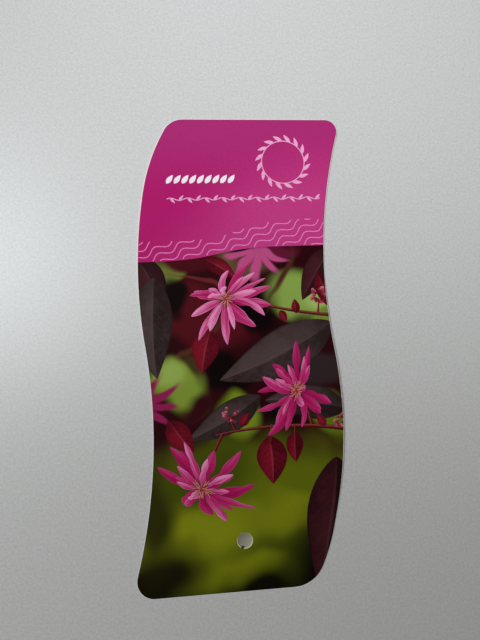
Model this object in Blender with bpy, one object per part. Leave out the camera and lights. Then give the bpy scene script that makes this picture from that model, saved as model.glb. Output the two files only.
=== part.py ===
"""Wavy plastic plant label with a punched hanging hole.

The label is one thin white card with an S-shaped outline.  It lies on its back,
+Z up, +Y towards its top edge, with the origin under its middle.  Two printed
fields cover its face, a plain heading above and a picture field below, and they
meet at a gently stepped seam.  The middle of the right-hand side stands up a little.
"""

import math

import bmesh
import bpy
from mathutils import Matrix, Vector

MM = 0.001

# Overall size of the card
LABEL_HEIGHT = 140.0 * MM
CARD_THICKNESS = 0.4 * MM
TOP_EDGE = 43.9 * MM

# Arcs of the two long sides, each in the order that a walk round the outline meets
# them: the right-hand side from its top down, the left-hand side from its foot up.
# The hollow turns away from the small corner and back, and the bulge goes over into
# a rounder shoulder before the big corner.
RIGHT_SIDE = {
    "small_corner_radius": 3.75 * MM,
    "hollow_radius": 156.0 * MM,
    "hollow_first_turn": math.radians(15.9),
    "hollow_second_turn": math.radians(8.6),
    "bulge_turn": math.radians(14.2),
    "shoulder_radius": 56.5 * MM,
    "shoulder_turn": math.radians(11.4),
    "big_corner_radius": 9.8 * MM,
}
LEFT_SIDE = {
    "small_corner_radius": 5.15 * MM,
    "hollow_radius": 160.0 * MM,
    "hollow_first_turn": math.radians(15.2),
    "hollow_second_turn": math.radians(8.25),
    "bulge_turn": math.radians(9.65),
    "shoulder_radius": 58.5 * MM,
    "shoulder_turn": math.radians(20.1),
    "big_corner_radius": 6.6 * MM,
}

# Punched hole near the bottom edge
HOLE_RADIUS = 2.15 * MM
HOLE_CENTRE = Vector((-1.2 * MM, -55.5 * MM))

# Printed fields: thin films a hair above the card, held back from its cut edges
FILM_THICKNESS = 0.04 * MM
FILM_CLEARANCE = 0.04 * MM
FILM_MARGIN = 0.2 * MM
HOLE_MARGIN = 0.25 * MM

# Seam between the fields: level, then a smooth step up to the right, then level
SEAM_LEFT_HEIGHT = 26.5 * MM
SEAM_RIGHT_HEIGHT = 30.6 * MM
SEAM_STEP_X = -6.0 * MM
SEAM_STEP_RUN = 10.0 * MM
SEAM_GAP = 0.05 * MM

# Rise of the right-hand side: it starts at an x, and dies away above and below
LIFT_HEIGHT = 0.9 * MM
LIFT_START_X = 6.0 * MM
LIFT_RUN = 22.0 * MM
LIFT_MIDDLE_Y = -14.0 * MM
LIFT_REACH = 38.0 * MM
LIFT_STRIP = 2.0 * MM
LIFT_STEP = 4.0 * MM

# Fineness of the curves
CORNER_STEP = math.radians(8.0)
SHOULDER_STEP = math.radians(2.0)
LONG_ARC_STEP = math.radians(1.0)
HOLE_POINTS = 48
SEAM_POINTS = 33
WELD_DISTANCE = 0.001 * MM
SMOOTH_ANGLE = math.radians(30.0)

# The seam's cutters reach this far below and above the films
CUTTER_BOTTOM = -1.0 * MM
CUTTER_DEPTH = 3.0 * MM

# Linear colour, roughness and metallic value of each finish
CARD_WHITE = ((0.80, 0.81, 0.80, 1.0), 0.45, 0.0)
HEADING_MAGENTA = ((0.42, 0.028, 0.168, 1.0), 0.35, 0.0)
PICTURE_OLIVE = ((0.105, 0.075, 0.022, 1.0), 0.35, 0.0)


def bulge_radius(side):
    """Radius that makes the arcs of one side drop by exactly the label's height."""
    first = math.sin(side["hollow_first_turn"])
    second = math.sin(side["hollow_second_turn"])
    bulge = math.sin(side["bulge_turn"])
    whole = math.sin(side["bulge_turn"] + side["shoulder_turn"])
    small_corner = side["small_corner_radius"] * (1 + first)
    hollow = side["hollow_radius"] * (first + second)
    shoulder = side["shoulder_radius"] * (whole - bulge)
    big_corner = side["big_corner_radius"] * (1 - whole)
    rest = LABEL_HEIGHT - small_corner - hollow - shoulder - big_corner
    return rest / (second + bulge)


def add_arc(points, heading, radius, turn, step):
    """Carries the path on along an arc that turns right, or left if the turn is negative."""
    side = -1 if turn > 0 else 1
    start = points[-1]
    centre = start + side * radius * Vector((-math.sin(heading), math.cos(heading)))
    count = math.ceil(abs(turn) / step)
    for index in range(1, count + 1):
        spoke = start - centre
        spoke.rotate(Matrix.Rotation(-turn * index / count, 2))
        points.append(centre + spoke)
    return heading - turn


def side_outline(side, start, inset):
    """Points along one long side, drawn in by the inset, from the start of its small corner."""
    right_angle = math.pi / 2
    first = side["hollow_first_turn"]
    second = side["hollow_second_turn"]
    bulge = side["bulge_turn"]
    shoulder = side["shoulder_turn"]
    arcs = (
        (side["small_corner_radius"] - inset, right_angle + first, CORNER_STEP),
        (side["hollow_radius"] + inset, -first - second, LONG_ARC_STEP),
        (bulge_radius(side) - inset, second + bulge, LONG_ARC_STEP),
        (side["shoulder_radius"] - inset, shoulder, SHOULDER_STEP),
        (side["big_corner_radius"] - inset, right_angle - bulge - shoulder, CORNER_STEP),
    )
    points = [start]
    heading = 0.0
    for radius, turn, step in arcs:
        heading = add_arc(points, heading, radius, turn, step)
    return points


def outline_from_top_edge(inset):
    """Closed outline, clockwise, with the full-size top edge starting at the origin.

    The left-hand side is drawn like the right-hand one, turned half round, and moved to
    end where the top edge starts.  The bottom edge is the line between the two sides.
    """
    start = Vector((0, -inset))
    right = side_outline(RIGHT_SIDE, start + Vector((TOP_EDGE, 0)), inset)
    left = [-point for point in side_outline(LEFT_SIDE, Vector((0, 0)), inset)]
    shift = start - left[-1]
    return [start, *right, *(point + shift for point in left[:-1])]


def label_outline(inset):
    """Closed outline of the label, drawn in by the inset, with the card's middle at the origin."""
    places = [point.x for point in outline_from_top_edge(0.0)]
    middle = Vector(((min(places) + max(places)) / 2, -LABEL_HEIGHT / 2))
    return [point - middle for point in outline_from_top_edge(inset)]


def hole_outline(radius):
    """Circle of the punched hole."""
    angles = [2 * math.pi * index / HOLE_POINTS for index in range(HOLE_POINTS)]
    return [HOLE_CENTRE + radius * Vector((math.cos(a), math.sin(a))) for a in angles]


def seam_height(x):
    """Height of the seam between the two fields: a smooth step along the label's width."""
    middle = (SEAM_LEFT_HEIGHT + SEAM_RIGHT_HEIGHT) / 2
    half_rise = (SEAM_RIGHT_HEIGHT - SEAM_LEFT_HEIGHT) / 2
    return middle + half_rise * math.tanh((x - SEAM_STEP_X) / SEAM_STEP_RUN)


def area_above_seam(offset):
    """Outline of everything on the label that lies above the seam, moved up by the offset."""
    reach = LABEL_HEIGHT / 2
    places = [reach * (2 * index / (SEAM_POINTS - 1) - 1) for index in range(SEAM_POINTS)]
    seam = [Vector((x, seam_height(x) + offset)) for x in places]
    return seam + [Vector((reach, LABEL_HEIGHT)), Vector((-reach, LABEL_HEIGHT))]


def lift(place):
    """Rise of the card at a place: a parabola across, faded out up and down the label."""
    across = max(0.0, place.x - LIFT_START_X) / LIFT_RUN
    along = min(1.0, abs(place.y - LIFT_MIDDLE_Y) / LIFT_REACH)
    return LIFT_HEIGHT * across**2 * (1 - along**4) ** 2


def make_finish(name, look):
    """Principled material from a colour, a roughness and a metallic value."""
    colour, roughness, metallic = look
    material = bpy.data.materials.new(name)
    material.use_nodes = True
    material.diffuse_color = colour
    shader = material.node_tree.nodes["Principled BSDF"]
    shader.inputs["Base Color"].default_value = colour
    shader.inputs["Roughness"].default_value = roughness
    shader.inputs["Metallic"].default_value = metallic
    return material


def make_collection(name):
    """New collection in the scene."""
    collection = bpy.data.collections.new(name)
    bpy.context.scene.collection.children.link(collection)
    return collection


def solid_mesh(scene_object, name):
    """The object's evaluated shape as a new mesh with its loose caps welded."""
    bpy.context.view_layer.update()
    graph = bpy.context.evaluated_depsgraph_get()
    mesh = bpy.data.meshes.new_from_object(scene_object.evaluated_get(graph))
    mesh.name = name
    shape = bmesh.new()
    shape.from_mesh(mesh)
    bmesh.ops.remove_doubles(shape, verts=shape.verts, dist=WELD_DISTANCE)
    shape.to_mesh(mesh)
    shape.free()
    return mesh


def make_sheet(name, rings, bottom, thickness, collection):
    """Flat sheet between two levels, filled inside its first ring and open in the others."""
    outline = bpy.data.curves.new(name, "CURVE")
    outline.dimensions = "2D"
    outline.fill_mode = "BOTH"
    outline.extrude = thickness / 2
    for ring in rings:
        spline = outline.splines.new("POLY")
        spline.points.add(len(ring) - 1)
        for point, place in zip(spline.points, ring):
            point.co = (place.x, place.y, 0, 1)
        spline.use_cyclic_u = True
    drawn = bpy.data.objects.new(name, outline)
    drawn.location.z = bottom + thickness / 2
    collection.objects.link(drawn)
    mesh = solid_mesh(drawn, name)
    place = drawn.matrix_world.copy()
    bpy.data.objects.remove(drawn)
    sheet = bpy.data.objects.new(name, mesh)
    sheet.matrix_world = place
    collection.objects.link(sheet)
    return sheet


def cut_along_seam(sheet, offset, operation, cutters):
    """Keeps one side of the seam: the area above it, or what is left without that area."""
    name = f"above_seam_{sheet.name}"
    rings = [area_above_seam(offset)]
    cutter = make_sheet(name, rings, CUTTER_BOTTOM, CUTTER_DEPTH, cutters)
    cutter.hide_render = True
    cutter.display_type = "WIRE"
    cut = sheet.modifiers.new("seam", "BOOLEAN")
    cut.operation = operation
    cut.object = cutter
    mesh = solid_mesh(sheet, sheet.name)
    sheet.modifiers.clear()
    sheet.data = mesh


def cut_rising_part(shape, place, direction):
    """Cuts the faces of the side that rises along a plane through a place."""
    faces = [f for f in shape.faces if f.calc_center_median().x > LIFT_START_X]
    edges = {edge for face in faces for edge in face.edges}
    corners = {corner for face in faces for corner in face.verts}
    bmesh.ops.bisect_plane(
        shape,
        geom=[*corners, *edges, *faces],
        dist=WELD_DISTANCE,
        plane_co=place,
        plane_no=direction,
    )


def raise_side(sheet):
    """Cuts the sheet's right-hand side into a fine grid and lifts its corners into place."""
    shape = bmesh.new()
    shape.from_mesh(sheet.data)
    start = Vector((LIFT_START_X, 0, 0))
    everything = shape.verts[:] + shape.edges[:] + shape.faces[:]
    right = Vector((1, 0, 0))
    bmesh.ops.bisect_plane(
        shape, geom=everything, dist=WELD_DISTANCE, plane_co=start, plane_no=right
    )
    furthest = max(vertex.co.x for vertex in shape.verts)
    for index in range(1, math.ceil((furthest - LIFT_START_X) / LIFT_STRIP)):
        cut_rising_part(shape, start + index * LIFT_STRIP * right, right)
    lowest = LIFT_MIDDLE_Y - LIFT_REACH
    for index in range(round(2 * LIFT_REACH / LIFT_STEP) + 1):
        place = Vector((0, lowest + index * LIFT_STEP, 0))
        cut_rising_part(shape, place, Vector((0, 1, 0)))
    bmesh.ops.triangulate(shape, faces=shape.faces)
    for vertex in shape.verts:
        vertex.co.z += lift(vertex.co)
    shape.to_mesh(sheet.data)
    shape.free()


def make_card(collection):
    """White plastic card, the body of the label, with its punched hole."""
    rings = [label_outline(0.0), hole_outline(HOLE_RADIUS)]
    return make_sheet("card", rings, 0.0, CARD_THICKNESS, collection)


def make_film(name, offset, operation, collection, cutters):
    """Printed film over one of the two fields of the card."""
    rings = [label_outline(FILM_MARGIN), hole_outline(HOLE_RADIUS + HOLE_MARGIN)]
    bottom = CARD_THICKNESS + FILM_CLEARANCE
    film = make_sheet(name, rings, bottom, FILM_THICKNESS, collection)
    cut_along_seam(film, offset, operation, cutters)
    return film


def build_label():
    """All of the label's parts, under one empty at the origin."""
    for old in list(bpy.data.objects):
        bpy.data.objects.remove(old)
    parts = make_collection("plant_label")
    cutters = make_collection("cutters")
    origin = bpy.data.objects.new("label_origin", None)
    parts.objects.link(origin)
    card = make_card(parts)
    heading = make_film("heading_film", SEAM_GAP / 2, "INTERSECT", parts, cutters)
    picture = make_film("picture_film", -SEAM_GAP / 2, "DIFFERENCE", parts, cutters)
    looks = {card: CARD_WHITE, heading: HEADING_MAGENTA, picture: PICTURE_OLIVE}
    for sheet, look in looks.items():
        raise_side(sheet)
        sheet.data.materials.clear()
        sheet.data.materials.append(make_finish(sheet.name, look))
        sheet.data.shade_smooth()
        sheet.data.set_sharp_from_angle(angle=SMOOTH_ANGLE)
        sheet.parent = origin


build_label()
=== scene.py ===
"""Finish of a wavy plastic plant label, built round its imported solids.

The card, its two printed fields and all that is printed on them are thin surfaces.
They are worked out in millimetres in the label's own frame: +X to the right, +Y up
the label and +Z out of its printed face.  Print lies in levels a few hundredths of
a millimetre apart, and every level follows the rise of the card's right-hand side.
"""

import math

import bmesh
import bpy
import numpy as np
from mathutils import Euler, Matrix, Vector


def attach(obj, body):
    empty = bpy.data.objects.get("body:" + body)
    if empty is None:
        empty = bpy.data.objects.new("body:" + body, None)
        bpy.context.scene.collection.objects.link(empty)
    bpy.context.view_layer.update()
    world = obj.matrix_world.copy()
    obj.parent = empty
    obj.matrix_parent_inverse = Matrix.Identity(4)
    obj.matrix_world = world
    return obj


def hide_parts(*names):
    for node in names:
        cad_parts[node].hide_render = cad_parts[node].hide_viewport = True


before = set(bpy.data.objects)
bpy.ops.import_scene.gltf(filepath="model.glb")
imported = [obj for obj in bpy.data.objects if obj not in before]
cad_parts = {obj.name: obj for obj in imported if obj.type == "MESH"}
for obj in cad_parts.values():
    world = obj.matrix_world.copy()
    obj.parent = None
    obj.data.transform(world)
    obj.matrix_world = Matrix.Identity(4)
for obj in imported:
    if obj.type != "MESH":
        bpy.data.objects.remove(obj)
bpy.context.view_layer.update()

MM = 0.001

# Outline of the card: its top edge and the arcs of its two long sides, the right-hand
# one from its top down and the left-hand one from its foot up
LABEL_HEIGHT = 140.0
TOP_EDGE = 43.9
RIGHT_SIDE = {
    "small_corner_radius": 3.75,
    "hollow_radius": 156.0,
    "hollow_first_turn": math.radians(15.9),
    "hollow_second_turn": math.radians(8.6),
    "bulge_turn": math.radians(14.2),
    "shoulder_radius": 56.5,
    "shoulder_turn": math.radians(11.4),
    "big_corner_radius": 9.8,
}
LEFT_SIDE = {
    "small_corner_radius": 5.15,
    "hollow_radius": 160.0,
    "hollow_first_turn": math.radians(15.2),
    "hollow_second_turn": math.radians(8.25),
    "bulge_turn": math.radians(9.65),
    "shoulder_radius": 58.5,
    "shoulder_turn": math.radians(20.1),
    "big_corner_radius": 6.6,
}

# Punched hole; the lip's thickest radius, its gap from the hole's wall and its level
# above the card; the direction of the torn bit and how far out it is rooted
HOLE_RADIUS = 2.15
HOLE_CENTRE = np.array([-1.2, -55.5])
LIP_SIZE = 0.12
LIP_GAP = 0.01
LIP_LEVEL = 0.002
BIT_DIRECTION = 4.35
BIT_REACH = 0.28

# Levels above the surface that the label lies on
CARD_TOP = 0.40
FILM_FOOT = 0.41
FILM_TOP = 0.48
LEVEL_STEP = 0.02

# Edges and meshes
CARD_ROUNDING = 0.14
FILM_ROUNDING = 0.03
HOLE_ROUNDING = 0.03
ROUND_POINTS = 6
SPOKE_POINTS = 64
SHORT_EDGE_POINTS = 60
SEAM_POINTS = 80
MERGE_DISTANCE = 0.0005 * MM
SHARP_ANGLE = math.radians(40)

# Printed fields and the seam where they meet
FIELD_MARGIN = 0.2
HOLE_MARGIN = 0.06
SEAM_LEFT_HEIGHT = 26.5
SEAM_RIGHT_HEIGHT = 30.6
SEAM_STEP_X = -6.0
SEAM_STEP_RUN = 10.0
HEADING_CENTRE = np.array([0.0, 48.0])

# Rise of the right-hand side: it starts at an x, and dies away above and below
LIFT_HEIGHT = 0.9
LIFT_START_X = 6.0
LIFT_RUN = 22.0
LIFT_MIDDLE_Y = -14.0
LIFT_REACH = 38.0

# How bright the scene's light leaves a white surface on the heading and on the picture
HEADING_LIGHT = 0.87
PICTURE_LIGHT = 0.67


def seen(red, green, blue, light=PICTURE_LIGHT):
    """Ink that shows as this screen colour, 0 to 255, under so much light.

    The screen's own curve is undone, and what is left is divided by the light.
    """
    tone = np.array([red, green, blue]) / 255
    linear = np.where(tone <= 0.04045, tone / 12.92, ((tone + 0.055) / 1.055) ** 2.4)
    return (*np.clip(linear / light, 0, 1), 1.0)


def heading_seen(red, green, blue):
    """The same for the heading, which the light reaches first."""
    return seen(red, green, blue, HEADING_LIGHT)


# Shape of the card


def arc_points(start, heading, radius, turn, count):
    """Points along an arc: the start swung about the arc's centre by equal angles."""
    side = -math.copysign(1, turn)
    centre = start + side * radius * np.array([-math.sin(heading), math.cos(heading)])
    spoke = start - centre
    swing = -turn * np.arange(1, count + 1) / count
    x = spoke[0] * np.cos(swing) - spoke[1] * np.sin(swing)
    y = spoke[0] * np.sin(swing) + spoke[1] * np.cos(swing)
    return centre + np.column_stack([x, y])


def side_points(side, start, inset):
    """One long side, drawn in by the inset: five arcs that meet without a kink.

    The bulge's radius makes the arcs drop by the label's height: each arc drops by its
    radius times the difference of the sines of its two ends' leans.  An arc has a
    radius, a turn and a number of points.
    """
    first = side["hollow_first_turn"]
    second = side["hollow_second_turn"]
    bulge = side["bulge_turn"]
    lean = bulge + side["shoulder_turn"]
    drop = side["small_corner_radius"] * (1 + math.sin(first))
    drop += side["hollow_radius"] * (math.sin(first) + math.sin(second))
    drop += side["shoulder_radius"] * (math.sin(lean) - math.sin(bulge))
    drop += side["big_corner_radius"] * (1 - math.sin(lean))
    bulge_radius = (LABEL_HEIGHT - drop) / (math.sin(second) + math.sin(bulge))
    right_angle = math.pi / 2
    arcs = (
        (side["small_corner_radius"] - inset, right_angle + first, 20),
        (side["hollow_radius"] + inset, -first - second, 60),
        (bulge_radius - inset, second + bulge, 44),
        (side["shoulder_radius"] - inset, side["shoulder_turn"], 18),
        (side["big_corner_radius"] - inset, right_angle - lean, 18),
    )
    path = [np.array([start])]
    heading = 0.0
    for radius, turn, count in arcs:
        path.append(arc_points(path[-1][-1], heading, radius, turn, count))
        heading -= turn
    return np.concatenate(path)


def both_sides(inset):
    """The two long sides, from a top edge whose full size starts at the origin.

    The left-hand side is drawn as a right-hand one, turned half round and moved so that
    it ends at the start of the top edge.
    """
    right = side_points(RIGHT_SIDE, np.array([TOP_EDGE, -inset]), inset)
    left = -side_points(LEFT_SIDE, np.zeros(2), inset)
    return right, left - left[-1] + np.array([0, -inset])


def label_edge(inset):
    """Both sides, and the closed outline that runs clockwise from the top edge's left end."""
    right, left = both_sides(0)
    middle = np.array([(right[:, 0].max() + left[:, 0].min()) / 2, -LABEL_HEIGHT / 2])
    right, left = (side - middle for side in both_sides(inset))
    top = np.linspace(left[-1], right[0], SHORT_EDGE_POINTS)[:-1]
    bottom = np.linspace(right[-1], left[0], SHORT_EDGE_POINTS)[1:-1]
    return right, left, np.concatenate([top, right, bottom, left[:-1]])


# Borders of the printed fields
FIELD_RIGHT, FIELD_LEFT, FIELD_EDGE = label_edge(FIELD_MARGIN)


def field_right(y):
    """Right-hand border of the printed fields at a height, between the outline's points."""
    return np.interp(y, FIELD_RIGHT[::-1, 1], FIELD_RIGHT[::-1, 0])


def field_left(y):
    """Left-hand border of the printed fields at a height, between the outline's points."""
    return np.interp(y, FIELD_LEFT[:, 1], FIELD_LEFT[:, 0])


def seam(x):
    """Height of the seam between the fields: a hyperbolic tangent across the label."""
    middle = (SEAM_LEFT_HEIGHT + SEAM_RIGHT_HEIGHT) / 2
    half_rise = (SEAM_RIGHT_HEIGHT - SEAM_LEFT_HEIGHT) / 2
    return middle + half_rise * np.tanh((x - SEAM_STEP_X) / SEAM_STEP_RUN)


def lift(x, y):
    """Rise of the card: a parabola across, times a fade that is flat in the middle.

    The fade is the square of one less the fourth power of the share of its reach.
    """
    across = np.maximum(x - LIFT_START_X, 0) / LIFT_RUN
    along = np.minimum(np.abs(y - LIFT_MIDDLE_Y) / LIFT_REACH, 1)
    return LIFT_HEIGHT * across**2 * (1 - along**4) ** 2


def field_edge(above):
    """Closed outline of one printed field: the label's outline cut along the seam."""
    edge = FIELD_EDGE
    kept = (edge[:, 1] > seam(edge[:, 0])) == above
    first = int(np.flatnonzero(kept & ~np.roll(kept, 1))[0])
    border = np.roll(edge, -first, axis=0)[: int(kept.sum())]
    across = np.linspace(border[-1, 0], border[0, 0], SEAM_POINTS)
    return np.concatenate([border, np.column_stack([across, seam(across)])])


# Making meshes


def grid_faces(number):
    """Faces that join each point to its neighbours, from a grid of the points' numbers."""
    corners = (number[:-1, :-1], number[:-1, 1:], number[1:, 1:], number[1:, :-1])
    return np.stack([corner.ravel() for corner in corners], axis=1)


def facing_up(points, faces):
    """Faces turned so that each one's diagonals, crossed, point up."""
    first = points[faces[:, 2]] - points[faces[:, 0]]
    second = points[faces[:, 3]] - points[faces[:, 1]]
    down = first[:, 0] * second[:, 1] < first[:, 1] * second[:, 0]
    return np.where(down[:, None], faces[:, ::-1], faces)


class Piece:
    """Grids of points, gathered into one mesh.  Each grid has its own UV map and tone."""

    def __init__(self):
        self.points = []
        self.faces = []
        self.places = []
        self.tones = []
        self.count = 0
        self.solid = False

    def add(self, x, y, z, tone=0.5, closed=(False, False), shown=None):
        """Adds a grid: faces join neighbours, and go round its ends where it is closed.

        Where shown says which points show, a face with none of them is left out.
        """
        self.solid |= closed[0]
        rows, columns = x.shape
        number = self.count + np.arange(rows * columns).reshape(rows, columns)
        if closed[0]:
            number = np.vstack([number, number[:1]])
        if closed[1]:
            number = np.hstack([number, number[:, :1]])
        along, across = np.meshgrid(
            np.linspace(0, 1, rows), np.linspace(0, 1, columns), indexing="ij"
        )
        faces = grid_faces(number)
        if shown is not None:
            faces = faces[shown.ravel()[faces - self.count].any(axis=1)]
        self.faces.append(faces)
        self.points.append(np.stack([x, y, z + lift(x, y)], axis=-1).reshape(-1, 3))
        self.places.append(np.stack([along, across], axis=-1).reshape(-1, 2))
        self.tones.append(np.full(rows * columns, float(tone)))
        self.count += rows * columns

    def add_print(self, x, y, level, tone=0.5, shown=None):
        """Adds a flat grid of print at a level above the films."""
        height = np.full(x.shape, FILM_TOP + level * LEVEL_STEP)
        self.add(x, y, height, tone, shown=shown)

    def add_picture(self, x, y, level, tone=0.5):
        """Adds a flat grid of print that is held inside the picture field."""
        lowest = FIELD_MARGIN - LABEL_HEIGHT / 2
        held_y = np.clip(y, lowest, seam(x))
        held_x = np.clip(x, field_left(held_y), field_right(held_y))
        shown = (held_x == x) & (held_y == y)
        self.add_print(held_x, held_y, level, tone, shown)

    def make(self, name, finish, slot, replaced=()):
        """Turns the grids into an object that rides on the label's body."""
        used, faces = np.unique(np.concatenate(self.faces), return_inverse=True)
        faces = faces.reshape(-1, 4)
        points = np.concatenate(self.points)[used]
        if not self.solid:
            faces = facing_up(points, faces)
        mesh = bpy.data.meshes.new(name)
        mesh.from_pydata(points * MM, [], faces)
        places = np.concatenate(self.places)[used][faces.ravel()]
        mesh.uv_layers.new(name="PieceUV").data.foreach_set("uv", places.ravel())
        tone = mesh.attributes.new("tone", "FLOAT", "POINT")
        tone.data.foreach_set("value", np.concatenate(self.tones)[used])
        shape = bmesh.new()
        shape.from_mesh(mesh)
        bmesh.ops.remove_doubles(shape, verts=shape.verts, dist=MERGE_DISTANCE)
        bmesh.ops.dissolve_degenerate(shape, edges=shape.edges, dist=MERGE_DISTANCE)
        if self.solid:
            bmesh.ops.recalc_face_normals(shape, faces=shape.faces)
        shape.to_mesh(mesh)
        shape.free()
        mesh.shade_smooth()
        mesh.set_sharp_from_angle(angle=SHARP_ANGLE)
        mesh.materials.append(finish.material)
        made = bpy.data.objects.new(name, mesh)
        bpy.context.scene.collection.objects.link(made)
        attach(made, "root")
        for node in replaced:
            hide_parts(node)


def closed_sheet(edge, rounding, centre, hole_radius, bottom, top):
    """Thin solid inside an outline, as a profile carried round the centre by spokes.

    A spoke runs from the centre's hole, or from the centre itself, to a point of the
    outline.  The profile goes outward over the top, round the edge, inward along the
    underside and, where there is a hole, up its wall.  Both rims are quarter rounds at
    the top and the bottom, each with its own radius.
    """
    spoke = edge - centre
    reach = np.linalg.norm(spoke, axis=1)[:, None]
    corner = np.linspace(0, math.pi / 2, ROUND_POINTS)[1:]
    shift = 1 - np.sin(corner)
    dip = 1 - np.cos(corner)
    run = np.linspace(0, 1, SPOKE_POINTS)
    flat = np.ones(len(run))
    rim = np.ones(len(corner))
    outward = [run, rim, rim, run[::-1]]
    inset = [flat, shift, shift[::-1], flat]
    height = [flat * top, top - rounding * dip, bottom + rounding * dip[::-1], flat * bottom]
    if hole_radius:
        outward += [0 * rim, 0 * rim]
        inset += [shift, shift[::-1]]
        height += [bottom + HOLE_ROUNDING * dip, top - HOLE_ROUNDING * dip[::-1]]
    outward, inset, height = map(np.concatenate, (outward, inset, height))
    start = hole_radius + HOLE_ROUNDING * inset if hole_radius else 0
    distance = (1 - outward) * start + outward * (reach - rounding * inset)
    x = centre[0] + spoke[:, :1] / reach * distance
    y = centre[1] + spoke[:, 1:] / reach * distance
    piece = Piece()
    piece.add(x, y, np.broadcast_to(height, x.shape), closed=(True, bool(hole_radius)))
    return piece


def spine(root, heading, length, bend, steps):
    """Path of equal steps whose heading turns steadily by the whole bend."""
    along = np.linspace(0, 1, steps)
    angle = heading + bend * along
    middle = (angle[1:] + angle[:-1]) / 2
    step = length / (steps - 1)
    x = root[0] + step * np.concatenate([[0], np.cumsum(np.cos(middle))])
    y = root[1] + step * np.concatenate([[0], np.cumsum(np.sin(middle))])
    return along, angle, x, y


def blade(root, heading, length, width, bend, profile, steps, columns):
    """Flat blade: rows across a spine, as wide as the profile says at that length.

    Each row runs along the spine's normal, from minus half to plus half its width.
    """
    along, angle, x, y = spine(root, heading, length, bend, steps)
    half = (width / 2 * profile(along))[:, None] * np.linspace(-1, 1, columns)
    normal_x = -np.sin(angle)[:, None]
    normal_y = np.cos(angle)[:, None]
    return x[:, None] + normal_x * half, y[:, None] + normal_y * half


def leaf_width(along):
    """Widest before the middle, rounded at the stalk and drawn out to a point.

    It is half a wave of a sine, pushed towards the stalk by a power of the length.
    """
    return np.sin(math.pi * along**0.8) ** 0.9


def petal_width(along):
    """Narrow at the root, widest past the middle, and drawn out to a tip.

    It is most of half a wave of a sine, pushed towards the tip by a power of the length.
    """
    return np.sin(math.pi * (0.1 + 0.9 * along) ** 1.4) ** 0.75


def bud_width(along):
    """Rounded at both ends: half of an ellipse."""
    return np.sqrt(np.clip(4 * along * (1 - along), 0, 1))


def stem_width(along):
    """Straight taper to half the width, with a rounded end."""
    return (1 - 0.5 * along) * np.sqrt(np.clip((1 - along) / 0.04, 0, 1))


# Shader maths


class Value:
    """A socket of a finish.  Arithmetic on it adds Math nodes to the finish."""

    def __init__(self, finish, socket):
        self.finish = finish
        self.socket = socket

    def maths(self, operation, *others):
        """This value and any others through one Math node."""
        sockets = dict(enumerate((self, *others)))
        return self.finish.node("ShaderNodeMath", {"operation": operation}, sockets)

    def __add__(self, other):
        return self.maths("ADD", other)

    def __sub__(self, other):
        return self.maths("SUBTRACT", other)

    def __rsub__(self, other):
        return (self * -1) + other

    def __mul__(self, other):
        return self.maths("MULTIPLY", other)

    def __abs__(self):
        return self.maths("ABSOLUTE")

    __radd__ = __add__
    __rmul__ = __mul__


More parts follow.
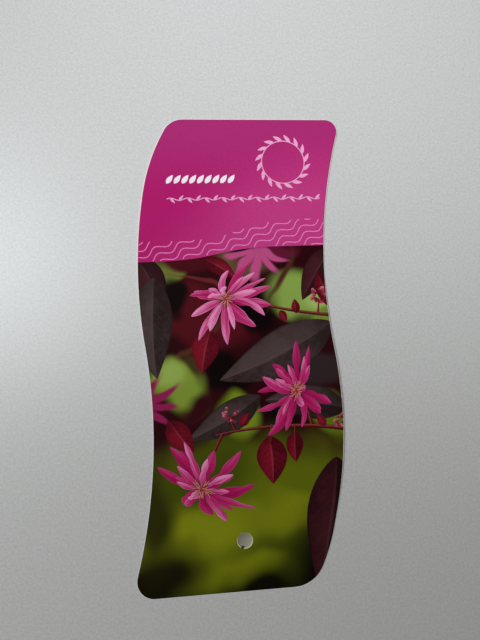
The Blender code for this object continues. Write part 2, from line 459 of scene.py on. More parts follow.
class Finish:
    """One material: a Principled shader and the nodes that feed it."""

    def __init__(self, name, roughness, specular=0.04):
        self.material = bpy.data.materials.new(name)
        self.material.use_nodes = True
        self.tree = self.material.node_tree
        self.shader = self.tree.nodes["Principled BSDF"]
        self.shader.inputs["Roughness"].default_value = roughness
        self.shader.inputs["Specular IOR Level"].default_value = specular

    def node(self, kind, settings=None, sockets=None, output=0):
        """Adds a node: first its settings, then the values or links of its sockets."""
        made = self.tree.nodes.new(kind)
        for name, value in (settings or {}).items():
            if name == "stops":
                self.set_stops(made.color_ramp.elements, value)
            else:
                setattr(made, name, value)
        for name, value in (sockets or {}).items():
            self.put(value, made.inputs[name])
        return Value(self, made.outputs[output])

    def set_stops(self, elements, stops):
        """Gives a ramp its places and colours."""
        stops = list(stops)
        while len(elements) < len(stops):
            elements.new(1.0)
        for element, (place, colour) in zip(elements, stops):
            element.position = place
            element.color = colour

    def put(self, value, socket):
        """Links a value to a socket, or sets the socket to it."""
        if isinstance(value, Value):
            self.tree.links.new(value.socket, socket)
        else:
            socket.default_value = value

    def feed(self, name, value):
        """Feeds one socket of the Principled shader."""
        self.put(value, self.shader.inputs[name])

    def place(self):
        """Place on the label, in millimetres."""
        metres = self.node("ShaderNodeTexCoord", output="Object")
        return self.node(
            "ShaderNodeVectorMath", {"operation": "SCALE"}, {0: metres, "Scale": 1 / MM}
        )

    def along_across(self):
        """The piece's own UV map, as how far along it and how far across."""
        return self.split(self.node("ShaderNodeUVMap", {"uv_map": "PieceUV"}))[:2]

    def split(self, vector):
        """The three parts of a vector."""
        parts = self.node("ShaderNodeSeparateXYZ", None, {0: vector}).socket.node
        return [Value(self, socket) for socket in parts.outputs]

    def tone(self):
        """The number that each grid of the piece was given."""
        return self.node("ShaderNodeAttribute", {"attribute_name": "tone"}, output="Fac")

    def vector(self, x, y, z=0.0):
        """Three numbers as one vector."""
        return self.node("ShaderNodeCombineXYZ", None, {0: x, 1: y, 2: z})

    def length(self, vector):
        """Length of a vector."""
        settings = {"operation": "LENGTH"}
        return self.node("ShaderNodeVectorMath", settings, {0: vector}, "Value")

    def noise(self, where, scale, detail, roughness=0.5):
        """Soft random pattern, 0 to 1, with its features about one over the scale in size."""
        sockets = {"Vector": where, "Scale": scale, "Detail": detail, "Roughness": roughness}
        return self.node("ShaderNodeTexNoise", None, sockets)

    def ease(self, value, low, high):
        """0 below low, 1 above high and a smooth step between."""
        sockets = {"Value": value, "From Min": low, "From Max": high}
        return self.node("ShaderNodeMapRange", {"interpolation_type": "SMOOTHSTEP"}, sockets)

    def mix(self, share, first, second):
        """Colour between two, by the share of the second."""
        sockets = {0: share, 6: first, 7: second}
        return self.node("ShaderNodeMix", {"data_type": "RGBA"}, sockets, output=2)

    def ramp(self, value, *stops):
        """Colour read from a row of stops."""
        return self.node("ShaderNodeValToRGB", {"stops": stops}, {0: value})

    def bump(self, height, strength, distance):
        """Relief of the surface, with its depth in millimetres."""
        sockets = {"Height": height, "Strength": strength, "Distance": distance * MM}
        self.feed("Normal", self.node("ShaderNodeBump", None, sockets))


def varnish(finish):
    """Satin varnish over print: faint orange peel, and gloss that varies a little."""
    place = finish.place()
    peel = finish.noise(place, 1.6, 2.0)
    finish.feed("Roughness", 0.40 + 0.10 * finish.noise(place, 0.12, 3.0))
    finish.bump(peel, 0.15, 0.02)


# Finishes


def card_plastic():
    """White polypropylene sheet, with a trace of cloud and a fine grain."""
    finish = Finish("card_plastic", 0.45, 0.3)
    place = finish.place()
    cloud = finish.noise(place, 0.05, 3.0)
    speck = finish.noise(place, 2.4, 2.0)
    white = finish.mix(cloud, (0.84, 0.82, 0.82, 1), (0.90, 0.875, 0.87, 1))
    finish.feed("Base Color", finish.mix(0.06 * speck, white, (0.62, 0.62, 0.60, 1)))
    finish.feed("Roughness", 0.38 + 0.16 * finish.noise(place, 0.4, 3.0))
    finish.bump(speck, 0.2, 0.02)
    return finish


def lip_plastic():
    """Bare plastic of the hole's lip, stretched by the punch and a little shiny."""
    finish = Finish("lip_plastic", 0.3, 0.5)
    stretch = finish.noise(finish.place(), 1.4, 2.0)
    pale = finish.mix(stretch, (0.90, 0.91, 0.58, 1), (0.98, 0.99, 0.72, 1))
    finish.feed("Base Color", pale)
    return finish


def heading_ink():
    """Magenta ground of the heading: deeper at its lower left, paler across its middle.

    The paler middle is painted sheen.
    """
    finish = Finish("heading_ink", 0.42)
    place = finish.place()
    x, y, _ = finish.split(place)
    cloud = 12 * finish.noise(place, 0.03, 2.0)
    right = finish.ease(0.8 * x - 0.6 * y + cloud, -37.0, -9.0)
    low = 1 - finish.ease(y + cloud, 48.0, 74.0)
    grain = finish.noise(place, 1.6, 4.0)
    ground = finish.mix(low, heading_seen(167, 43, 111), heading_seen(174, 24, 103))
    # Painted sheen: paler over the heading's lower half, strongest towards the right
    ground = finish.mix(low * right, ground, heading_seen(188, 58, 126))
    ground = finish.mix(0.35 * (grain - 0.3), ground, heading_seen(120, 16, 72))
    finish.feed("Base Color", ground)
    varnish(finish)
    return finish


def line_ink(name, colour, ground):
    """Fine line of print: its ink thins a little here and there."""
    finish = Finish(name, 0.42)
    thin = finish.ease(finish.noise(finish.place(), 1.8, 3.0), 0.35, 0.75)
    finish.feed("Base Color", finish.mix(thin * 0.35, colour, ground))
    varnish(finish)
    return finish


# Out-of-focus shapes behind the picture's plants, far ones first:
# centre, half length and half width, turn in degrees, softness of the rim, colour
SOFT_SHAPES = (
    ((19, 15), (10, 6.5), -18, 0.34, (118, 142, 64)),
    ((23, 13), (4, 3), -18, 0.50, (140, 160, 84)),
    ((26, 8), (5, 4), 30, 0.25, (100, 118, 44)),
    ((0, 25), (8, 3), -12, 0.35, (84, 66, 44)),
    ((-24, 22), (7, 4), 28, 0.22, (104, 122, 50)),
    ((9, 28), (9, 2.6), 14, 0.35, (84, 16, 40)),
    ((-12, 10), (15, 8), -24, 0.30, (72, 10, 20)),
    ((4, 12), (6, 9), 20, 0.35, (8, 1, 2)),
    ((-17, 27), (10, 4), 0, 0.40, (62, 6, 15)),
    ((-20, 16), (6, 3), -60, 0.35, (10, 1, 2)),
    ((22, -5), (9, 5), -30, 0.25, (42, 30, 31)),
    ((-13, 2), (13, 0.8), 38, 0.60, (74, 34, 24)),
    ((13, 22), (0.8, 9), -24, 0.60, (66, 32, 22)),
    ((-12, 20), (9, 0.7), -14, 0.60, (92, 30, 34)),
    ((-4, -7), (8, 6), -10, 0.30, (8, 1, 2)),
    ((8, -2), (6, 3), 50, 0.30, (70, 8, 18)),
    ((-19, -11), (9, 6), -40, 0.36, (112, 132, 46)),
    ((-22, -7), (4, 3), -40, 0.60, (134, 154, 72)),
    ((-13, -17), (7, 3), 38, 0.55, (44, 5, 12)),
    ((-15, -5), (4, 2), -70, 0.60, (58, 44, 22)),
    ((-27, -16), (5, 4), 0, 0.30, (52, 4, 12)),
    ((-2, -20), (6, 7), -14, 0.30, (104, 122, 26)),
    ((26, -20), (8, 6), -35, 0.25, (84, 98, 18)),
    ((11, -21), (6, 4), 30, 0.35, (12, 4, 5)),
    ((0, -50), (46, 22), 4, 0.30, (84, 92, 10)),
    ((-12, -37), (15, 7), 24, 0.60, (58, 66, 6)),
    ((-14, -53), (18, 7), 10, 0.60, (116, 122, 16)),
    ((15, -49), (13, 5), -12, 0.60, (110, 116, 14)),
    ((12, -58), (14, 4), 10, 0.70, (70, 76, 8)),
    ((0, -64), (16, 4), 6, 0.60, (106, 112, 12)),
    ((26, -62), (16, 13), 34, 0.50, (10, 7, 2)),
    ((2, -71), (14, 6), 3, 0.60, (12, 9, 2)),
    ((-27, -66), (13, 8), 22, 0.60, (20, 16, 3)),
    ((-28, -46), (6, 14), 8, 0.60, (40, 40, 6)),
)

# Out-of-focus blossoms: centre, reach, headings of the petals in degrees, colour
SOFT_BLOSSOMS = (
    ((5, 29), 8, (-165, -128, -88, -52, -16), (166, 66, 114)),
    ((-29, -15), 8, (62, 26, -10, -48), (128, 26, 70)),
)


def picture_ink():
    """Ground of the picture: out-of-focus garden greens between dark hollows.

    Each shape is an ellipse with a soft rim, mixed over those before it.  A slow noise
    bends them all.  A petal of an out-of-focus blossom is a long narrow ellipse.
    """
    finish = Finish("picture_ink", 0.42)
    place = finish.place()
    swirl = finish.noise(place, 0.07, 1.0)
    sway = finish.noise(place, 0.08, 1.0)
    warp = finish.vector(10 * swirl - 5, 10 * sway - 5)
    bent = finish.node("ShaderNodeVectorMath", {"operation": "ADD"}, {0: place, 1: warp})
    shapes = list(SOFT_SHAPES)
    for (x, y), reach, headings, ink in SOFT_BLOSSOMS:
        for heading in headings:
            angle = math.radians(heading)
            centre = (x + 0.6 * reach * math.cos(angle), y + 0.6 * reach * math.sin(angle))
            shapes.append((centre, (0.55 * reach, 0.14 * reach), heading, 0.35, ink))
    colour = seen(36, 3, 8)
    for centre, size, turn, softness, ink in shapes:
        sockets = {
            "Vector": bent,
            "Location": (*centre, 0),
            "Rotation": (0, 0, math.radians(turn)),
            "Scale": (*size, 1),
        }
        near = finish.node("ShaderNodeMapping", {"vector_type": "TEXTURE"}, sockets)
        sockets = {0: near, 1: (1, 1, 0)}
        flat = finish.node("ShaderNodeVectorMath", {"operation": "MULTIPLY"}, sockets)
        share = 1 - finish.ease(finish.length(flat), 1 - softness, 1 + softness)
        colour = finish.mix(share, colour, seen(*ink))
    grain = finish.noise(place, 3.0, 3.0)
    finish.feed("Base Color", finish.mix(0.14 * grain, colour, seen(8, 4, 3)))
    varnish(finish)
    return finish


def leaf_ink(name, deep, sheen, vein):
    """Leaf: one side of the midrib in sheen, side veins that run forward, mottled skin.

    Its skin has fine pale specks, and it lies in shade towards its stalk.
    """
    finish = Finish(name, 0.42)
    place = finish.place()
    along, across = finish.along_across()
    tone = finish.tone()
    side = abs(across - 0.5) * 2
    mottle = finish.noise(place, 0.9, 5.0, 0.7)
    cloud = finish.noise(place, 0.16, 2.0)
    lit = finish.ease(across, 0.44, 0.56) * (1 - 0.7 * side)
    light = 0.5 * lit + 0.6 * mottle + 0.5 * cloud + 0.35 * tone - 0.05
    skin = finish.mix(finish.ease(light, 0.35, 1.25), deep, sheen)
    branch = (8.0 * along - 1.7 * side).maths("FRACT")
    rib = 1 - finish.ease(abs(branch - 0.5), 0.0, 0.10)
    midrib = 1 - finish.ease(side, 0.02, 0.10)
    mark = (0.26 * rib * (1 - side)).maths("MAXIMUM", 0.6 * midrib)
    skin = finish.mix(mark, skin, vein)
    speck = finish.ease(finish.noise(place, 3.2, 3.0, 0.7), 0.58, 0.74)
    skin = finish.mix(0.42 * speck, skin, vein)
    rim = finish.ease(side, 0.86, 1.0)
    shade = 1 - finish.ease(along + 0.5 * (cloud - 0.5), 0.0, 0.45)
    dim = (0.5 * rim).maths("MAXIMUM", 0.6 * shade)
    finish.feed("Base Color", finish.mix(dim, skin, deep))
    varnish(finish)
    return finish


def petal_ink(name, tones):
    """Petal: a fold down its middle with one side in light, paler end, long streaks."""
    finish = Finish(name, 0.42)
    along, across = finish.along_across()
    tone = finish.tone()
    where = finish.vector(1.0 * along, 7.0 * across, 9.0 * tone)
    streak = finish.noise(where, 1.6, 4.0, 0.65)
    lit = finish.ease(across, 0.44, 0.56)
    rim = finish.ease(abs(across - 0.5) * 2, 0.8, 1.0)
    pale = 0.20 * lit + 0.30 * finish.ease(along, 0.2, 1.0) + 1.4 * (streak - 0.5)
    pale = pale + 0.7 * (tone - 0.5) + 0.26 * rim + 0.22
    body = finish.ramp(pale, *((place, seen(*ink)) for place, ink in tones))
    root = 1 - finish.ease(along, 0.04, 0.30)
    finish.feed("Base Color", finish.mix(0.8 * root, body, seen(70, 4, 20)))
    varnish(finish)
    return finish


def stalk_ink(name, dark, light):
    """Twig or thread: rounded by a light line along one side, with uneven skin."""
    finish = Finish(name, 0.42)
    along, across = finish.along_across()
    round_side = finish.ease(across, 0.25, 0.8) * (1 - finish.ease(across, 0.8, 1.0))
    skin = finish.noise(finish.place(), 1.1, 3.0)
    lit = 0.75 * round_side + 0.5 * (skin - 0.5)
    finish.feed("Base Color", finish.mix(lit, dark, light))
    varnish(finish)
    return finish


# The card and its two fields


def make_card():
    """The whole card inside its outline, in the place of the CAD's card."""
    edge = label_edge(0.0)[2]
    sheet = closed_sheet(edge, CARD_ROUNDING, HOLE_CENTRE, HOLE_RADIUS, 0.0, CARD_TOP)
    sheet.make("card_body", card_plastic(), "card_plastic", ["card"])


def make_hole_lip():
    """Pale lip pressed up round the punched hole, with one torn bit of print left on it.

    It is a ring half sunk in the card, thickest at the hole's foot, whose outer side
    lies under the print.  The circle of its section is carried round the hole.
    """
    angle = np.linspace(0, 2 * math.pi, 97)[:-1, None]
    bulge = np.linspace(0, 2 * math.pi, 13)[:-1]
    size = LIP_SIZE * (0.75 - 0.20 * np.sin(angle))
    distance = HOLE_RADIUS + LIP_GAP + size * (1 - np.cos(bulge))
    x = HOLE_CENTRE[0] + np.cos(angle) * distance
    y = HOLE_CENTRE[1] + np.sin(angle) * distance
    height = CARD_TOP + LIP_LEVEL + size * np.sin(bulge)
    lip = Piece()
    lip.add(x, y, height, closed=(True, True))
    lip.make("hole_lip", lip_plastic(), "card_plastic")
    outward = np.array([math.cos(BIT_DIRECTION), math.sin(BIT_DIRECTION)])
    root = HOLE_CENTRE + (HOLE_RADIUS + BIT_REACH) * outward
    bit = Piece()
    bit.add_print(*blade(root, 1.3, 0.75, 0.8, 0.5, bud_width, 12, 5), 3)
    ink = line_ink("torn_bit_ink", seen(20, 20, 6), seen(60, 62, 20))
    bit.make("torn_bit", ink, "picture_ink")


def make_fields():
    """The two printed films, in the places of the CAD's films."""
    border = field_edge(True)
    heading = closed_sheet(border, FILM_ROUNDING, HEADING_CENTRE, 0, FILM_FOOT, FILM_TOP)
    heading.make("heading_field", heading_ink(), "heading_ink", ["heading_film"])
    border = field_edge(False)
    hole = HOLE_RADIUS + HOLE_MARGIN
    picture = closed_sheet(border, FILM_ROUNDING, HOLE_CENTRE, hole, FILM_FOOT, FILM_TOP)
    picture.make("picture_field", picture_ink(), "picture_ink", ["picture_film"])


# Ornament on the heading

# Rows of waves that climb to the right, and the step at which their band ends
WAVE_HEADING = math.radians(26.8)
WAVE_LENGTH = 7.05
WAVE_HEIGHT = 0.78
WAVE_OVERTONE = 0.06
WAVE_START = -0.85
WAVE_WIDTH = 0.27
WAVE_ROWS = 16
ROW_SPACING = 2.14
FIRST_ROW = 14.4
SHORTEST_RUN = 12
BAND_HEIGHT = 35.7
BAND_HALF_RISE = 3.1
BAND_STEP_X = 1.0
BAND_STEP_RUN = 9.0
SEAM_GAP = 0.2
BORDER_GAP = 0.1

# Rows of leaves, the stem of the fine row, and the wreath
ROWS_START = -20.6
BOLD_ROW_HEIGHT = 50.1
BOLD_LEAVES = 9
BOLD_SPACING = 2.32
FINE_ROW_HEIGHT = 45.3
FINE_ROW_END = 26.0
FINE_LEAVES = 18
FINE_SPACING = 2.6
STEM_SWAY = 0.35
STEM_WIDTH = 0.28
WREATH_CENTRE = np.array([15.0, 56.5])
WREATH_RADIUS = 6.6
WREATH_LEAVES = 16
LEAF_LEVEL = 1.3


def ribbon(x, y, width):
    """Line of constant width along a path, as a grid across its normals."""
    run = np.gradient(x)
    rise = np.gradient(y)
    pace = np.hypot(run, rise)
    offset = width / 2 * np.linspace(-1, 1, 3)
    return (
        x[:, None] - (rise / pace)[:, None] * offset,
        y[:, None] + (run / pace)[:, None] * offset,
    )


def wave_limit(x):
    """Height where the rows of waves stop: a smooth step like the seam's, above it."""
    return BAND_HEIGHT + BAND_HALF_RISE * np.tanh((x - BAND_STEP_X) / BAND_STEP_RUN)


def make_waves():
    """Slanting rows of thin waves: each is a cosine along a climbing line.

    A first overtone makes its falling stretches longer than its rising ones.  Each row
    is cut off where the band or the heading ends, and very short runs are left out.
    """
    ink = line_ink("wave_ink", heading_seen(232, 132, 190), heading_seen(200, 80, 146))
    along = np.linspace(-45, 55, 1200)
    phase = 2 * math.pi * (along - WAVE_START) / WAVE_LENGTH
    swing = WAVE_HEIGHT * (np.cos(phase) - WAVE_OVERTONE * np.sin(2 * phase))
    cos, sin = math.cos(WAVE_HEADING), math.sin(WAVE_HEADING)
    for row in range(WAVE_ROWS):
        off = FIRST_ROW + ROW_SPACING * row + swing
        x = along * cos - off * sin
        y = along * sin + off * cos
        shown = (y > seam(x) + SEAM_GAP) & (y < wave_limit(x))
        shown &= (x < field_right(y) - BORDER_GAP) & (x > field_left(y) + BORDER_GAP)
        ends = np.flatnonzero(np.diff(np.concatenate([[0], shown.astype(int), [0]])))
        piece = Piece()
        for first, last in ends.reshape(-1, 2):
            if last - first > SHORTEST_RUN:
                piece.add_print(*ribbon(x[first:last], y[first:last], WAVE_WIDTH), 1)
        if piece.count:
            piece.make(f"wave_line_{row + 1}", ink, "heading_ink")


def small_leaf(piece, root, heading, length, width, level=1):
    """Small solid leaf of ornament."""
    piece.add_print(*blade(root, heading, length, width, 0.0, leaf_width, 12, 5), level)


def stem_height(x):
    """Height of the fine row's stem: a slow sine, two leaves to a wave."""
    return FINE_ROW_HEIGHT + STEM_SWAY * np.sin(math.pi * x / FINE_SPACING)


def make_leaf_rows():
    """Plain leaf ornament: a short bold row, a long fine one on a stem, and a wreath.

    The wreath's leaves stand at equal angles on a ring, and each leans the same way.
    """
    white = line_ink("white_line_ink", heading_seen(246, 232, 242), heading_seen(214, 150, 186))
    bold = Piece()
    for index in range(BOLD_LEAVES):
        root = (ROWS_START + BOLD_SPACING * index, BOLD_ROW_HEIGHT)
        small_leaf(bold, root, math.radians(52), 3.3, 1.5)
    bold.make("bold_leaf_row", white, "card_plastic")
    pale = line_ink("pale_line_ink", heading_seen(230, 166, 204), heading_seen(196, 90, 148))
    vine = Piece()
    x = np.linspace(ROWS_START, FINE_ROW_END, 160)
    vine.add_print(*ribbon(x, stem_height(x), STEM_WIDTH), 1)
    for index in range(FINE_LEAVES):
        x = ROWS_START + 1.0 + FINE_SPACING * index
        way = 1 if index % 2 else -1
        small_leaf(vine, (x, stem_height(x)), way * math.radians(48), 2.1, 0.75, LEAF_LEVEL)
    vine.make("fine_leaf_row", pale, "card_plastic")
    wreath = Piece()
    for index in range(WREATH_LEAVES):
        angle = 2 * math.pi * index / WREATH_LEAVES
        root = WREATH_CENTRE + WREATH_RADIUS * np.array([math.cos(angle), math.sin(angle)])
        small_leaf(wreath, root, angle + math.radians(62), 3.2, 1.1, LEAF_LEVEL)
    angle = np.linspace(0, 2 * math.pi, 90)
    ring_x = WREATH_CENTRE[0] + WREATH_RADIUS * np.cos(angle)
    ring_y = WREATH_CENTRE[1] + WREATH_RADIUS * np.sin(angle)
    wreath.add_print(*ribbon(ring_x, ring_y, STEM_WIDTH), 1)
    wreath.make("leaf_wreath", pale, "card_plastic")


# Plants of the picture.  Leaves: root, heading in degrees, length, width, bend in
# degrees, tone, level.  Twigs: the same without a tone or a level.  Blossoms: centre,
# reach, direction in which they tip away in degrees, how much that narrows them,
# paleness, seed.
DARK_LEAVES = (
    ((27.5, 7), 213, 38, 14, -16, 0.7, 1),
    ((-25, 22), 262, 30, 12, 16, 0.4, 2),
    ((5, -14), 216, 25, 9, -14, 0.5, 2),
    ((31, -19), 163, 25, 10, 18, 0.2, 3),
)
WINE_LEAVES = (
    ((-9, 6), 250, 13, 8, 14, 0.7, 3),
    ((7, -26), 280, 14, 9, -14, 0.5, 3),
    ((-22, -20), 300, 12, 7, 12, 0.8, 4),
    ((24, 22), 292, 14, 6, 10, 0.3, 3),
    ((-10, 27), 335, 11, 5, -16, 0.4, 2),
    ((15, -25), 262, 9, 5, 14, 0.3, 4),
)
MAROON_LEAVES = (
    ((27, -33), 266, 38, 15, -14, 0.3, 1),
    ((-30, 28), -58, 17, 9, -14, 0.5, 1),
    ((29, 30), 232, 19, 8, 12, 0.6, 2),
)
BUDS = (
    ((24, -23.8), 120, 4.2, 2.6, 6, 0.9, 4.8),
    ((-1, -22.8), 62, 4.6, 2.8, -8, 0.6, 4.8),
    ((11, -22.2), 74, 4.4, 2.6, 10, 0.8, 4.8),
    ((17, 10.0), 96, 4.4, 2.6, 0, 0.7, 4.8),
    ((12, 11.0), 300, 3.8, 2.4, 0, 0.6, 4.8),
)
TWIGS = (
    ((31, -25), 170, 40, 1.3, 20),
    ((-6.5, -24.6), 240, 15, 1.0, 14),
    ((30, 9), 176, 31, 1.1, -16),
    ((20, -23.2), 100, 11, 0.9, 14),
    ((23.5, 10), 80, 4.5, 0.6, 10),
    ((8, -22.6), 262, 5, 0.6, 10),
    ((15, -23), 262, 3.5, 0.6, 10),
    ((-3, -23.6), 110, 4, 0.6, 10),
)
BLOSSOMS = (
    ((-4, 15), 15.0, 125, 0.78, 0.38, 4),
    ((16, -13), 16.0, -20, 0.70, 0.0, 8),
    ((-13, -40), 17.5, 235, 0.74, 0.08, 21),
)
BUD_CLUSTERS = (((23.8, 15.4), 1.7, 3), ((-4, -19.2), 1.6, 5), ((29, -22.5), 1.4, 7))
CLUSTER_TONES = ((0.0, (60, 6, 18)), (0.5, (126, 38, 52)), (1.0, (186, 116, 126)))
PETAL_TONES = (
    (0.0, (134, 8, 65)),
    (0.35, (157, 28, 86)),
    (0.65, (170, 54, 108)),
    (1.0, (206, 126, 167)),
)
# Rings of petals: how many, share of the blossom's reach, paleness
PETAL_RINGS = ((8, 1.0, 0.15), (8, 0.86, 0.45), (6, 0.62, 0.7))
CLUSTER_BUDS = 13
THREADS = 30

# Print levels of the plants, and how far each next one of a kind lies above the last
TWIG_LEVEL = 4.0
TWIG_STEP = 0.08
CLUSTER_LEVEL = 4.9
CLUSTER_STEP = 0.02
PETAL_LEVEL = 5.3
PETAL_STEP = 0.12
RING_STEP = 1.1
THREAD_LEVEL = 8.8
THREAD_STEP = 0.04

# Direction from which the picture's plants are lit
LIGHT_FROM = np.array([-0.6, 0.8])


def lit_last(x, y):
    """Turns a blade's columns so that the last one lies nearer the picture's light."""
    shift = LIGHT_FROM[0] * (x[:, -1] - x[:, 0]) + LIGHT_FROM[1] * (y[:, -1] - y[:, 0])
    return (x, y) if shift.mean() > 0 else (x[:, ::-1], y[:, ::-1])


def make_leaves():
    """Leaves of three kinds, and single buds drawn as small leaves."""
    dark = leaf_ink("dark_leaf_ink", seen(26, 13, 14), seen(66, 52, 52), seen(74, 60, 60))
    wine = leaf_ink("wine_leaf_ink", seen(50, 1, 9), seen(108, 13, 31), seen(130, 46, 56))
    maroon = leaf_ink("maroon_leaf_ink", seen(22, 5, 8), seen(56, 21, 26), seen(72, 38, 42))
    kinds = (
        ("dark_leaf", DARK_LEAVES, dark),
        ("wine_leaf", WINE_LEAVES, wine),
        ("maroon_leaf", MAROON_LEAVES, maroon),
        ("bud", BUDS, wine),
    )
    for kind, leaves, ink in kinds:
        steps, columns = (24, 9) if kind == "bud" else (90, 31)
        for index, (root, heading, length, width, bend, tone, level) in enumerate(leaves):
            heading, bend = math.radians(heading), math.radians(bend)
            grid = blade(root, heading, length, width, bend, leaf_width, steps, columns)
            piece = Piece()
            piece.add_picture(*lit_last(*grid), level, tone)
            piece.make(f"{kind}_{index + 1}", ink, "picture_ink")


def make_bud_clusters():
    """Tight clusters of small rounded flower buds at the ends of twigs.

    Buds lie at random places of a disc, even over its area, and point outward.
    """
    ink = petal_ink("cluster_ink", CLUSTER_TONES)
    for number, (centre, reach, seed) in enumerate(BUD_CLUSTERS):
        draw = np.random.default_rng(seed)
        cluster = Piece()
        for index in range(CLUSTER_BUDS):
            heading = draw.uniform(0, 2 * math.pi)
            far = reach * math.sqrt(draw.uniform(0, 1))
            root = (centre[0] + far * math.cos(heading), centre[1] + far * math.sin(heading))
            size = draw.uniform(0.7, 1.1) * reach
            heading += draw.normal(0, 0.6)
            x, y = blade(root, heading, size, 0.7 * size, 0.4, bud_width, 14, 7)
            level = CLUSTER_LEVEL + CLUSTER_STEP * index
            cluster.add_picture(*lit_last(x, y), level, draw.uniform(0.1, 0.9))
        cluster.make(f"bud_cluster_{number + 1}", ink, "picture_ink")


def make_twigs():
    """Bent twigs that taper along their length."""
    ink = stalk_ink("twig_ink", seen(56, 8, 12), seen(138, 54, 52))
    for index, (root, heading, length, width, bend) in enumerate(TWIGS):
        heading, bend = math.radians(heading), math.radians(bend)
        grid = blade(root, heading, length, width, bend, stem_width, 80, 7)
        piece = Piece()
        piece.add_picture(*lit_last(*grid), TWIG_LEVEL + TWIG_STEP * index)
        piece.make(f"twig_{index + 1}", ink, "picture_ink")


def lay_over(x, y, centre, turn, squash, droop=0.0):
    """Tips a flower away: narrows it along one direction, lets it droop that way, places it."""
    cos, sin = math.cos(turn), math.sin(turn)
    far = (x * cos + y * sin) * squash + droop
    wide = y * cos - x * sin
    return centre[0] + far * cos - wide * sin, centre[1] + far * sin + wide * cos


def petal_grid(draw, size, heading):
    """One petal from the flower's middle, of uneven length, width, bend and pinch."""

    def profile(along):
        """A petal's width, with a dent at one place that has the form of a bell curve."""
        dent = pinch * np.exp(-(((along - where) / 0.12) ** 2))
        return petal_width(along) * (1 - dent)

    length = size * draw.uniform(0.62, 1.08)
    width = size * draw.uniform(0.15, 0.25)
    bend = draw.normal(0, 0.55)
    pinch = draw.uniform(0, 0.5)
    where = draw.uniform(0.35, 0.8)
    root = (0.6 * math.cos(heading), 0.6 * math.sin(heading))
    return blade(root, heading - bend / 2, length, width, bend, profile, 36, 9)


def make_blossoms():
    """Star-shaped blossoms: three rings of uneven narrow petals and a tuft of threads.

    Petals stand at equal angles, each off by a little chance, and droop by the square
    of the way along them.
    """
    petals_ink = petal_ink("petal_ink", PETAL_TONES)
    thread_ink = stalk_ink("thread_ink", seen(126, 36, 44), seen(212, 156, 140))
    for number, (centre, size, turn, squash, pale, seed) in enumerate(BLOSSOMS):
        draw = np.random.default_rng(seed)
        turn = math.radians(turn)
        petals = Piece()
        for ring, (count, reach, light) in enumerate(PETAL_RINGS):
            for index in range(count):
                heading = 2 * math.pi * (index + 0.37 * ring) / count + draw.normal(0, 0.22)
                x, y = petal_grid(draw, size * reach, heading)
                fall = -size * draw.uniform(0.0, 0.2)
                droop = fall * np.linspace(0, 1, len(x))[:, None] ** 2
                x, y = lit_last(*lay_over(x, y, centre, turn, squash, droop))
                level = PETAL_LEVEL + ring * RING_STEP + index * PETAL_STEP
                petals.add_picture(x, y, level, light + pale + draw.uniform(-0.25, 0.25))
        petals.make(f"blossom_{number + 1}_petals", petals_ink, "picture_ink")
        threads = Piece()
        for index in range(THREADS):
            heading = 2 * math.pi * index / THREADS + draw.uniform(-0.2, 0.2)
            length = size * draw.uniform(0.08, 0.24)
            bend = draw.uniform(-1.0, 1.0)
            x, y = blade((0, 0), heading, length, 0.62, bend, stem_width, 12, 5)
            x, y = lay_over(x, y, centre, turn, squash)
            threads.add_picture(x, y, THREAD_LEVEL + index * THREAD_STEP, draw.uniform(0, 1))
        threads.make(f"blossom_{number + 1}_threads", thread_ink, "picture_ink")


# Studio


# Colours of the pale surface, and of the painted shade on it where it shows through the hole
FLOOR_COLOURS = ((0.572, 0.571, 0.566, 1), (0.703, 0.700, 0.694, 1))
HOLE_SHADE_COLOURS = ((0.195, 0.182, 0.152, 1), (0.44, 0.41, 0.29, 1))
FLOOR_REACH = 1500
FLOOR_LEVEL = -0.02

# Both beams of the lamp come from one place: name, power, radius, angle and blend of
# the cone, point that it is aimed at
LAMP_PLACE = Vector((-410, 148, 740))
BEAMS = (
    ("soft_lamp", 15.0, 190, 81.4, 0.275, (-300, 320, 0)),
    ("soft_beam", 13.6, 60, 23.4, 0.9, (79, 132, 0)),
)
LAMP_COLOUR = (0.945, 1.0, 1.02)
FILL_COLOUR = (1.02, 0.98, 0.93, 1)
FILL_STRENGTH = 0.237

# The camera's place and its turn
CAMERA_PLACE = Vector((-13.52, 0.45, 142.88)) * MM
CAMERA_TURN = Euler([math.radians(angle) for angle in (3.452, -5.243, -2.295)])


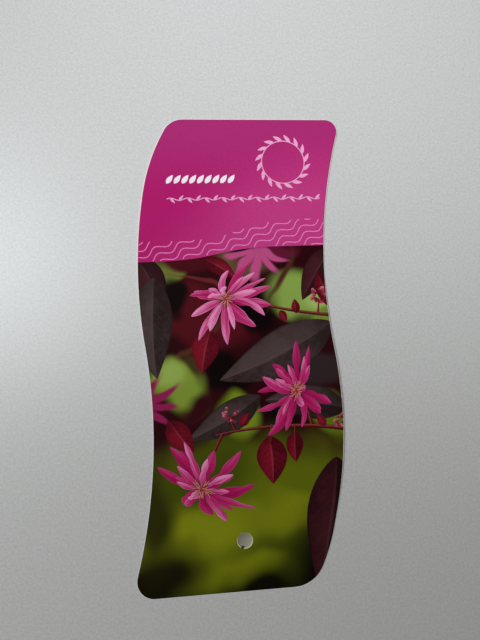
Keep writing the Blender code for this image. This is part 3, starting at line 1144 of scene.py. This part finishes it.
def make_floor():
    """Plain pale surface with a trace of grain, and painted shade where it shows through the
    hole.

    There the painted shade runs from darker at the hole's upper left to lighter at its lower
    right.
    """
    finish = Finish("pale_surface", 0.40, 0.85)
    place = finish.place()
    grain = finish.noise(place, 1.4, 4.0, 0.65)
    speck = finish.ease(grain, 0.25, 0.75)
    pale = finish.mix(speck, *FLOOR_COLOURS)
    # Painted shade under the hole: darker inside the hole's outline, darkest at its upper left
    x, y, _ = finish.split(place)
    x = x - HOLE_CENTRE[0]
    y = y - HOLE_CENTRE[1]
    far = finish.length(finish.vector(x, y))
    inside = 1 - finish.ease(far, HOLE_RADIUS + 0.2, HOLE_RADIUS + 1.2)
    hole_shade = finish.mix(finish.ease(x - y, -3.6, 3.6), *HOLE_SHADE_COLOURS)
    finish.feed("Base Color", finish.mix(inside, pale, hole_shade))
    side = np.linspace(-FLOOR_REACH, FLOOR_REACH, 25)
    x, y = np.meshgrid(side, side)
    points = np.stack([x, y, np.full(x.shape, FLOOR_LEVEL)], axis=-1).reshape(-1, 3)
    number = np.arange(x.size).reshape(x.shape)
    mesh = bpy.data.meshes.new("pale_surface")
    mesh.from_pydata(points * MM, [], grid_faces(number))
    mesh.materials.append(finish.material)
    floor = bpy.data.objects.new("pale_surface", mesh)
    bpy.context.scene.collection.objects.link(floor)


def make_lights():
    """One soft lamp up on the left, with a beam that brightens the top, and an even fill."""
    for name, power, radius, angle, blend, aim in BEAMS:
        lamp = bpy.data.lights.new(name, "SPOT")
        lamp.energy = power
        lamp.color = LAMP_COLOUR
        lamp.shadow_soft_size = radius * MM
        lamp.spot_size = math.radians(angle)
        lamp.spot_blend = blend
        holder = bpy.data.objects.new(name, lamp)
        holder.location = LAMP_PLACE * MM
        toward = Vector(aim) - LAMP_PLACE
        holder.rotation_euler = toward.to_track_quat("-Z", "Y").to_euler()
        bpy.context.scene.collection.objects.link(holder)
    world = bpy.data.worlds.new("fill")
    world.use_nodes = True
    background = world.node_tree.nodes["Background"]
    background.inputs["Color"].default_value = FILL_COLOUR
    background.inputs["Strength"].default_value = FILL_STRENGTH
    bpy.context.scene.world = world


def make_camera():
    """Phone camera held above the label, leaning a little to its left."""
    data = bpy.data.cameras.new("camera")
    data.lens = 27.06
    data.sensor_width = 36.0
    data.clip_start = 5 * MM
    camera = bpy.data.objects.new("camera", data)
    camera.location = CAMERA_PLACE
    camera.rotation_euler = CAMERA_TURN
    bpy.context.scene.collection.objects.link(camera)
    bpy.context.scene.camera = camera
    bpy.context.scene.view_settings.view_transform = "Standard"


make_card()
make_fields()
make_hole_lip()
make_waves()
make_leaf_rows()
make_leaves()
make_twigs()
make_bud_clusters()
make_blossoms()
make_floor()
make_lights()
make_camera()
